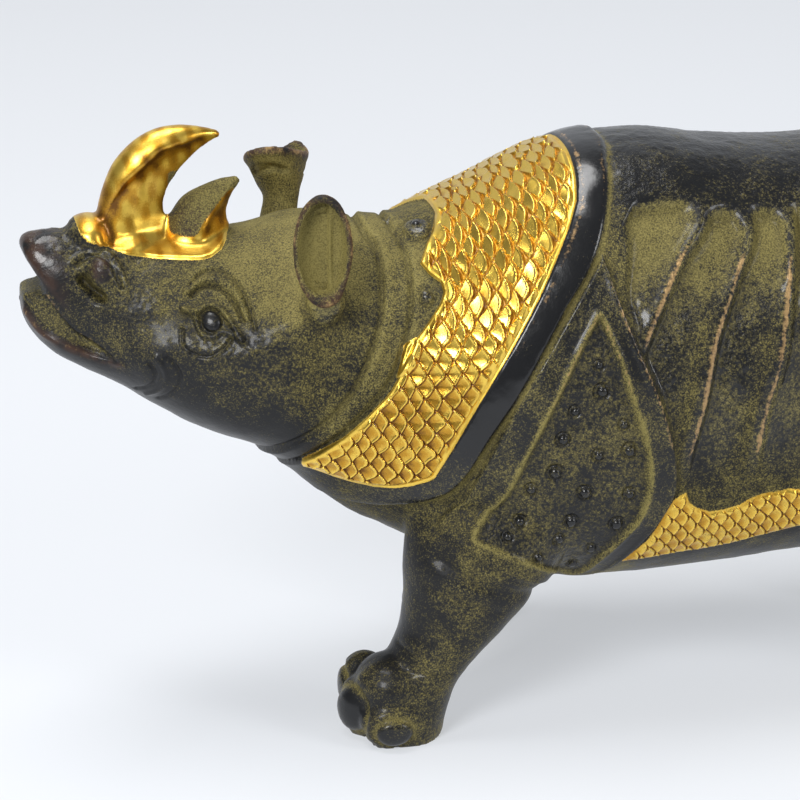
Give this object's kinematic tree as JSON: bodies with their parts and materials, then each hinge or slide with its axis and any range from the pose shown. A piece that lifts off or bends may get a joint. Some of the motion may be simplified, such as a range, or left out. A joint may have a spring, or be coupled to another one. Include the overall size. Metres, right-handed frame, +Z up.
{
  "type": "rhinoceros figurine",
  "caption": "Hollow-cast bronze rhinoceros that stands on its feet with its head raised, with gilt horns and gilt scale panels.",
  "frame": {"origin": "on the floor under the soles, at the middle of the footprint box of the whole figure", "axes": "nose towards -X, tail towards +X, left flank towards -Y, +Z up"},
  "size_m": [0.3721, 0.1202, 0.1907],
  "materials": {
    "bronze": "dark patinated bronze, with gilding on the horns and the scale panels"
  },
  "bodies": {
    "root": {"rhinoceros": "bronze"}
  },
  "joints": []
}
